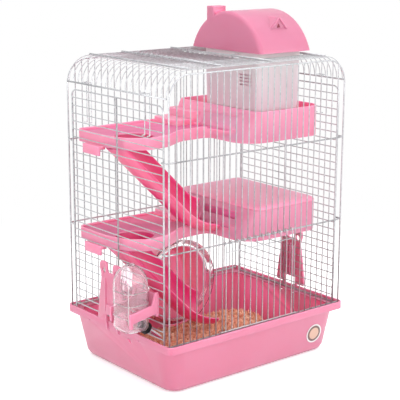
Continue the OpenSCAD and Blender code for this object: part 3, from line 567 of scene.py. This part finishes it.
def select_where(piece, test):
    """Selects the corners that pass a test on their place."""
    bpy.ops.object.mode_set(mode="EDIT")
    bpy.ops.mesh.select_all(action="DESELECT")
    bpy.ops.object.mode_set(mode="OBJECT")
    for vertex in piece.data.vertices:
        vertex.select = test(vertex.co)
    bpy.ops.object.mode_set(mode="EDIT")


def surface_of(*names):
    """The named nodes' faces as one surface that rays can be cast at."""
    faces = bmesh.new()
    for name in names:
        faces.from_mesh(nodes[name].data)
    tree = BVHTree.FromBMesh(faces)
    faces.free()
    return tree


def bevelled(piece, width_mm, segments=2, sharp=SMALL_SHARP, smooth=SMOOTH):
    """Rounds the edges that turn by more than the sharp angle, in degrees."""
    bevel = piece.modifiers.new("edges", "BEVEL")
    bevel.width = width_mm * MM
    bevel.segments = segments
    bevel.limit_method = "ANGLE"
    bevel.angle_limit = math.radians(sharp)
    bpy.ops.object.modifier_apply(modifier=bevel.name)
    bpy.ops.object.shade_smooth_by_angle(angle=math.radians(smooth))


def dress(piece, node):
    paint(piece, FINISHES[node])
    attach(piece, body_of_node[node])
    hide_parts(node)


# How deep each corner lies in a hollow: the share of short sight lines that end on a wall, which
# sets the painted light and shade in hollows

DEPTH_REACH = 0.075
SIGHT_LINES = 24
GOLDEN_TURN = 2.39996
CLEAR_OF_SKIN = 0.0006
RIM_TURN = 0.5
WALLED = (
    "tub",
    "upper_shelf",
    "lower_shelf",
    "box_lid",
    "upper_ramp",
    "lower_ramp",
    "house_roof",
    "nest_tower",
    "bedding",
)


def sight_lines():
    """Directions over a half ball, evenly spread, more of them near its pole."""
    lines = []
    for i in range(SIGHT_LINES):
        rise = math.sqrt(1 - (i + 0.5) / SIGHT_LINES)
        turn = i * GOLDEN_TURN
        flat = math.sqrt(1 - rise * rise)
        lines.append(Vector((flat * math.cos(turn), flat * math.sin(turn), rise)))
    return lines


WALL_TREE = surface_of(*WALLED)
LINES = sight_lines()


def note_depth(piece, bare_outside=False):
    """Writes each corner's depth; bare_outside leaves a tray's outer walls open all over."""
    mesh = piece.data
    layer = mesh.attributes.new(DEPTH, "FLOAT", "POINT")
    for vertex, value in zip(mesh.vertices, layer.data):
        normal = vertex.normal
        outward = normal.x * vertex.co.x + normal.y * vertex.co.y > 0
        if bare_outside and outward and normal.z < RIM_TURN:
            continue
        turn = normal.to_track_quat("Z", "Y")
        start = vertex.co + normal * CLEAR_OF_SKIN
        met = 0
        for line in LINES:
            met += WALL_TREE.ray_cast(start, turn @ line, DEPTH_REACH)[0] is not None
        value.value = met / len(LINES)


def moulding(node, width_mm, smooth):
    """The node's own form with its flat faces whole again and its edges rounded."""
    piece = copy_of(node, node + "_moulding")
    bpy.ops.object.mode_set(mode="EDIT")
    bpy.ops.mesh.select_all(action="SELECT")
    bpy.ops.mesh.dissolve_limited(angle_limit=math.radians(FLAT))
    bpy.ops.object.mode_set(mode="OBJECT")
    bevelled(piece, width_mm, sharp=MOULD_SHARP, smooth=smooth)
    note_depth(piece, node == "tub")
    dress(piece, node)
    return piece


# Wires: rods drawn thinner than the solids' gauge, the frames' own rods a little stouter

THIN_MM = 0.3
SIDE_THIN_MM = 0.4
FRAME_THIN_MM = 0.1
FRAME_ROD = 0.0022
SIDE_PANELS = ("left_panel", "right_panel")
WIRED = (
    "front_panel",
    "back_panel",
    "left_panel",
    "right_panel",
    "roof_panel",
    "front_door",
    "roof_door",
    "wire_hooks",
)


def is_frame_rod(node, place, low, high):
    """True on the outermost rods of a panel, which carry the others."""
    if node in SIDE_PANELS:
        return place.y < low.y + FRAME_ROD or place.y > high.y - FRAME_ROD
    if node in ("front_panel", "back_panel"):
        return place.x < low.x + FRAME_ROD or place.x > high.x - FRAME_ROD
    return False


def wire_piece(node):
    piece = copy_of(node, node + "_wires")
    low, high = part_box(node)
    thin_mm = SIDE_THIN_MM if node in SIDE_PANELS else THIN_MM
    for thin, frame_rods in ((thin_mm, False), (FRAME_THIN_MM, True)):
        select_where(piece, lambda co: is_frame_rod(node, co, low, high) == frame_rods)
        bpy.ops.transform.shrink_fatten(value=-thin * MM, use_even_offset=False)
    bpy.ops.object.mode_set(mode="OBJECT")
    bpy.ops.object.shade_smooth_by_angle(angle=math.radians(SMOOTH_ROUND))
    dress(piece, node)


# Small pieces that stand on the mouldings


def start_cube(name, low, high):
    """A block between two corners, in millimetres, ready to be shaped."""
    bpy.ops.object.select_all(action="DESELECT")
    centre = [(a + b) / 2 * MM for a, b in zip(low, high)]
    bpy.ops.mesh.primitive_cube_add(size=1, location=centre)
    piece = bpy.context.object
    piece.name = name
    piece.scale = [(b - a) * MM for a, b in zip(low, high)]
    bpy.ops.object.transform_apply(location=True, rotation=True, scale=True)
    return piece


def place_small(piece, body, material):
    paint(piece, material)
    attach(piece, body)


# Shelves: heights over each shelf's own zero, in millimetres, and the box's leaning left wall

SHELF_Z = {"upper_shelf": 273.0, "lower_shelf": 152.5}
BOX_X0, BOX_LEAN, BOX_H, BOX_SINK = 8.0, 18.0, 37.5, 0.5
DECK_TOP = 11.5
DECK_BAND_MM = 1.2
DOORWAY_Y = (-32.0, 30.0)
DOORWAY_LOW = 11.5
DOORWAY_TOP = 28.5
UPPER_PANEL_TOP = 28.4
LOWER_PANEL_TOP = 21.5
SLOT_LOW = 20.5
SILL_BACK = 0.7
SILL_WALL = 1.2
SILL_LAP = 0.2
SLOT_BACK = 2.2
SLOT_LAP = 1.5


def deck_shade_and_gloss(piece, shelf_z):
    """The landing's deck gets a deeper pink than its rim, painted shade, and less gloss."""
    piece.data.materials.append(DECK_SHADE_PINK)
    level = (shelf_z + DECK_TOP) * MM
    for face in piece.data.polygons:
        if face.normal.z > FACES_UP and abs(face.center.z - level) < DECK_BAND_MM * MM:
            face.material_index = 1


def wall_x(rise):
    """Outer face of the box's leaning wall, that far above the shelf's own zero."""
    return BOX_X0 + BOX_LEAN * (rise + BOX_SINK) / BOX_H


def doorway_panel(name, shelf_z, top):
    """The recessed panel that fills the doorway of the box's leaning wall up to a height."""
    x = wall_x(DOORWAY_LOW) + SILL_BACK
    piece = start_cube(
        name,
        (x, DOORWAY_Y[0] - SILL_LAP, shelf_z + DOORWAY_LOW - SILL_LAP),
        (x + SILL_WALL, DOORWAY_Y[1] + SILL_LAP, shelf_z + top),
    )
    middle = (shelf_z + (DOORWAY_LOW + top) / 2) * MM
    select_where(piece, lambda co: co.z > middle)
    bpy.ops.transform.translate(value=((wall_x(top) - wall_x(DOORWAY_LOW)) * MM, 0, 0))
    bpy.ops.object.mode_set(mode="OBJECT")
    bevelled(piece, 0.5, 3)
    note_depth(piece)
    place_small(piece, "cage", SHELF_PINK)


def slot_back(name, shelf_z, low):
    """What shows behind the slot that the panel leaves open: the lid's inner skirt."""
    x = wall_x((low + DOORWAY_TOP) / 2) + SLOT_BACK
    piece = start_cube(
        name,
        (x, DOORWAY_Y[0] - SLOT_LAP, shelf_z + low),
        (x + SILL_WALL, DOORWAY_Y[1] + SLOT_LAP, shelf_z + DOORWAY_TOP + 2),
    )
    bevelled(piece, 0.4)
    # Painted bounce light: the sheet behind the slot is given a bright pink in place of its shade
    place_small(piece, "cage", SLOT_BOUNCE_PINK)


# Flask: raised level lines on its front half and the parting line down its front edge

FLASK_Y = -0.062
FLASK_FRONT_Y = -0.079
LEVEL_LINES_MM = (127.5, 113.0, 98.5)
LEVEL_LINE_HIGH_MM = 0.8
LEVEL_LINES_END = (-0.1447, FLASK_Y, 0)
LEVEL_LINES_ALONG = (0.59, 0.81, 0)
PARTING_HALF = 0.0006
PARTING_IN = 0.0022
PARTING_REACH = 0.008
PARTING_Z = (0.092, 0.138)
MARK_PROUD_MM = 0.35


def outer_band(name, planes):
    """A strip of the flask's outer skin between cutting planes, made into a raised bead."""
    piece = copy_of("flask", name)
    bpy.ops.object.mode_set(mode="EDIT")
    for at, along, clear_inner in planes:
        bpy.ops.mesh.select_all(action="SELECT")
        bpy.ops.mesh.bisect(
            plane_co=at, plane_no=along, clear_inner=clear_inner, clear_outer=not clear_inner
        )
    bpy.ops.object.mode_set(mode="OBJECT")
    low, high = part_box("flask")
    middle = Vector(((low.x + high.x) / 2, FLASK_Y, 0))
    for face in piece.data.polygons:
        out = face.center - middle
        face.select = face.normal.x * out.x + face.normal.y * out.y < 0
    bpy.ops.object.mode_set(mode="EDIT")
    bpy.ops.mesh.select_mode(type="FACE")
    bpy.ops.mesh.delete(type="FACE")
    bpy.ops.mesh.select_mode(type="VERT")
    bpy.ops.object.mode_set(mode="OBJECT")
    thick = piece.modifiers.new("bead", "SOLIDIFY")
    thick.thickness = MARK_PROUD_MM * MM
    thick.offset = 1
    bpy.ops.object.modifier_apply(modifier=thick.name)
    bpy.ops.object.shade_smooth_by_angle(angle=math.radians(SMOOTH))
    # The beads' whitish finish is a painted highlight
    place_small(piece, body_of_node["flask"], BEAD_HIGHLIGHT_WHITE)


def flask_marks():
    up = (0, 0, 1)
    for number, level in enumerate(LEVEL_LINES_MM):
        outer_band(
            f"flask_level_{number + 1}",
            [
                ((0, 0, (level - LEVEL_LINE_HIGH_MM / 2) * MM), up, True),
                ((0, 0, (level + LEVEL_LINE_HIGH_MM / 2) * MM), up, False),
                (LEVEL_LINES_END, LEVEL_LINES_ALONG, False),
            ],
        )
    low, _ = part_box("flask")
    corner = Vector((low.x + PARTING_IN, FLASK_FRONT_Y + PARTING_IN, 0))
    across = Vector((1, -1, 0)).normalized()
    outer_band(
        "flask_parting_line",
        [
            (corner - across * PARTING_HALF, across, True),
            (corner + across * PARTING_HALF, across, False),
            ((0, 0, PARTING_Z[0]), up, True),
            ((0, 0, PARTING_Z[1]), up, False),
            (corner + Vector((PARTING_REACH, PARTING_REACH, 0)), (1, 1, 0), False),
        ],
    )


# Badge: a plain round disc with a raised rim, on the tub's front wall, in millimetres

BADGE_AT = (97.0, 27.4)
BADGE_R = 12.4
BADGE_EDGE = 0.12
IN_FRONT_Y = -300.0

# Name, outer and inner radius, height over the wall, thickness, depth of the dish and material
BADGE_RINGS = [
    ("badge_rim", BADGE_R, BADGE_R - 1.7, 0.3, 0.6, 0.4, BADGE_SILVER),
    ("badge_band", BADGE_R - 1.9, BADGE_R - 4.4, 0.3, 0.5, 0.1, BADGE_UMBER),
    ("badge_centre", BADGE_R - 4.6, BADGE_R - 7, 0.35, 0.5, -0.1, BADGE_SAND),
]


def tub_front_at(x, z):
    start = Vector((x * MM, IN_FRONT_Y * MM, z * MM))
    hit, normal, _, _ = surface_of("tub").ray_cast(start, Vector((0, 1, 0)))
    return hit, normal


def badge_ring(name, radius, inner, rise, thick, sink, material):
    hit, normal = tub_front_at(*BADGE_AT)
    bpy.ops.object.select_all(action="DESELECT")
    bpy.ops.mesh.primitive_cylinder_add(vertices=64, radius=radius * MM, depth=thick * MM)
    piece = bpy.context.object
    piece.name = name
    bpy.ops.object.mode_set(mode="EDIT")
    bpy.ops.mesh.select_mode(type="FACE")
    bpy.ops.object.mode_set(mode="OBJECT")
    for face in piece.data.polygons:
        face.select = face.normal.z > FACES_UP
    bpy.ops.object.mode_set(mode="EDIT")
    bpy.ops.mesh.inset(thickness=(radius - inner) * MM)
    bpy.ops.transform.translate(value=(0, 0, -sink * MM))
    bpy.ops.mesh.select_mode(type="VERT")
    bpy.ops.object.mode_set(mode="OBJECT")
    bevelled(piece, BADGE_EDGE)
    face_out = normal.to_track_quat("Z", "Y").to_matrix().to_4x4()
    piece.matrix_world = Matrix.Translation(hit + normal * rise * MM) @ face_out
    bpy.ops.object.transform_apply(location=True, rotation=True, scale=True)
    place_small(piece, "cage", material)


# Dormer: the raised verge of its little gable, and a vent, in millimetres

DORMER_Y = -53.6
DORMER_APEX = (66.0, 418.2)
DORMER_FEET = ((53.6, 405.6), (78.4, 405.6))
VERGE_WIDE = 2.2
VERGE_PROUD = 1.6
VERGE_IN = 3
VENT_AT = (66.0, -53.8, 408.6)
VENT_R = 3.0
VENT_THICK = 0.8


def dormer_verges():
    for number, (x, z) in enumerate(DORMER_FEET):
        run = Vector((DORMER_APEX[0] - x, 0, DORMER_APEX[1] - z))
        piece = start_cube(
            f"dormer_verge_{number + 1}",
            (x - VERGE_WIDE / 2, DORMER_Y - VERGE_PROUD, z),
            (x + VERGE_WIDE / 2, DORMER_Y + VERGE_IN, z + 1),
        )
        base = (z + 0.5) * MM
        select_where(piece, lambda co: co.z > base)
        bpy.ops.transform.translate(value=run * MM)
        bpy.ops.object.mode_set(mode="OBJECT")
        bevelled(piece, 0.4, 3)
        place_small(piece, body_of_node["house_roof"], HOUSE_PINK)


def dormer_vent():
    """The gable's small three-cornered vent, drawn as a dark plate: painted shade inside the
    opening.
    """
    bpy.ops.object.select_all(action="DESELECT")
    bpy.ops.mesh.primitive_cylinder_add(vertices=3, radius=VENT_R * MM, depth=VENT_THICK * MM)
    piece = bpy.context.object
    piece.name = "dormer_vent"
    face_front = Matrix.Rotation(math.radians(90), 4, "X")
    piece.matrix_world = Matrix.Translation(Vector(VENT_AT) * MM) @ face_front
    bpy.ops.object.transform_apply(location=True, rotation=True, scale=True)
    bevelled(piece, 0.15)
    place_small(piece, body_of_node["house_roof"], VENT_SHADE_DARK)


# Latch plates: upright ribs on the side that faces the wires, in millimetres

LATCH_RIBS_Y = (-17.0, -11.5, -6.0, -0.5, 5.0)
RIB_DEEP = 1.3
RIB_SUNK = 0.6
RIB_WIDE = 1.5
RIB_FOOT = 76
RIB_TOP = 122
RIB_MIDDLE_Y = -6.5
RIB_FALL = 0.35


def latch_ribs(side):
    node = "latch_left" if side < 0 else "latch_right"
    low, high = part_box(node)
    face = (low.x if side > 0 else high.x) / MM
    body = body_of_node[node]
    x0, x1 = sorted((face - side * RIB_DEEP, face + side * RIB_SUNK))
    for number, y in enumerate(LATCH_RIBS_Y):
        reach = RIB_TOP - abs(y - RIB_MIDDLE_Y) * RIB_FALL
        piece = start_cube(
            f"{node}_rib_{number + 1}",
            (x0, y - RIB_WIDE / 2, RIB_FOOT),
            (x1, y + RIB_WIDE / 2, reach),
        )
        bevelled(piece, 0.35, 3)
        place_small(piece, body, TUB_PINK)


# Shavings: curled flakes strewn over the heap

FLAKES = 3800
FLAKE_SEED = 7
FLAKE_MARGIN = 0.004
FLAKE_LENGTH = (0.004, 0.012)
FLAKE_BREADTH = (0.0015, 0.0035)
FLAKE_CURL = (0.6, 4.2)
FLAKE_LEAN = 0.6
FLAKE_PITCH = 0.45
FLAKE_LIFT = (0.0002, 0.0022)
FLAKE_STEPS = 5
FLAKE_END = 0.55
FLAKE_SWELL = 0.45
FLAKE_THICK = 0.0003
STEEPEST = 0.2
OVER_HEAP_Z = 0.2


def flake_at(rng, hit):
    """One flake's length, breadth, curl and place."""
    length = rng.uniform(*FLAKE_LENGTH)
    breadth = rng.uniform(*FLAKE_BREADTH)
    curl = rng.uniform(*FLAKE_CURL)
    turn = Matrix.Rotation(rng.uniform(0, math.tau), 4, "Z")
    lean = Matrix.Rotation(rng.gauss(0, FLAKE_LEAN), 4, "X")
    pitch = Matrix.Rotation(rng.gauss(0, FLAKE_PITCH), 4, "Y")
    lift = Vector((0, 0, rng.uniform(*FLAKE_LIFT)))
    return length, breadth, curl, Matrix.Translation(hit + lift) @ turn @ lean @ pitch


def add_flake(flakes, length, breadth, curl, place):
    radius = length / curl
    rows = []
    for i in range(FLAKE_STEPS + 1):
        angle = curl * (i / FLAKE_STEPS - 0.5)
        swell = FLAKE_SWELL * math.sin(math.pi * i / FLAKE_STEPS)
        wide = breadth * (FLAKE_END + swell) / 2
        centre = Vector((radius * math.sin(angle), 0, radius * (1 - math.cos(angle))))
        across = Vector((0, wide, 0))
        rows.append([flakes.verts.new(place @ (centre + side * across)) for side in (-1, 1)])
    for a, b in zip(rows, rows[1:]):
        flakes.faces.new((a[0], b[0], b[1], a[1]))


def strew_shavings():
    rng = random.Random(FLAKE_SEED)
    heap = surface_of("bedding")
    low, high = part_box("bedding")
    flakes = bmesh.new()
    placed = 0
    while placed < FLAKES:
        x = rng.uniform(low.x + FLAKE_MARGIN, high.x - FLAKE_MARGIN)
        y = rng.uniform(low.y + FLAKE_MARGIN, high.y - FLAKE_MARGIN)
        hit, normal, _, _ = heap.ray_cast(Vector((x, y, OVER_HEAP_Z)), Vector((0, 0, -1)))
        if hit is None or normal.z < STEEPEST:
            continue
        add_flake(flakes, *flake_at(rng, hit))
        placed += 1
    data = bpy.data.meshes.new("shavings")
    flakes.to_mesh(data)
    flakes.free()
    piece = bpy.data.objects.new("shavings", data)
    bpy.context.scene.collection.objects.link(piece)
    thick = piece.modifiers.new("thickness", "SOLIDIFY")
    thick.thickness = FLAKE_THICK
    pick(piece)
    bpy.ops.object.modifier_apply(modifier=thick.name)
    paint(piece, SHAVINGS)
    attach(piece, "cage")


add_camera()
add_room()
add_floor()
for lamp in LAMPS:
    add_lamp(*lamp)

for node, obj in nodes.items():
    paint(obj, FINISHES[node])

mouldings = {node: moulding(node, width, smooth) for node, width, smooth in MOULDINGS}
for name, shelf_z in SHELF_Z.items():
    deck_shade_and_gloss(mouldings[name], shelf_z)

dormer_verges()
dormer_vent()
doorway_panel("upper_doorway_panel", SHELF_Z["upper_shelf"], UPPER_PANEL_TOP)
doorway_panel("lower_doorway_panel", SHELF_Z["lower_shelf"], LOWER_PANEL_TOP)
slot_back("lower_doorway_slot", SHELF_Z["lower_shelf"], SLOT_LOW)
flask_marks()
for ring in BADGE_RINGS:
    badge_ring(*ring)
latch_ribs(-1)
latch_ribs(1)

for node in WIRED:
    wire_piece(node)

strew_shavings()

bpy.context.scene.view_settings.view_transform = "Standard"
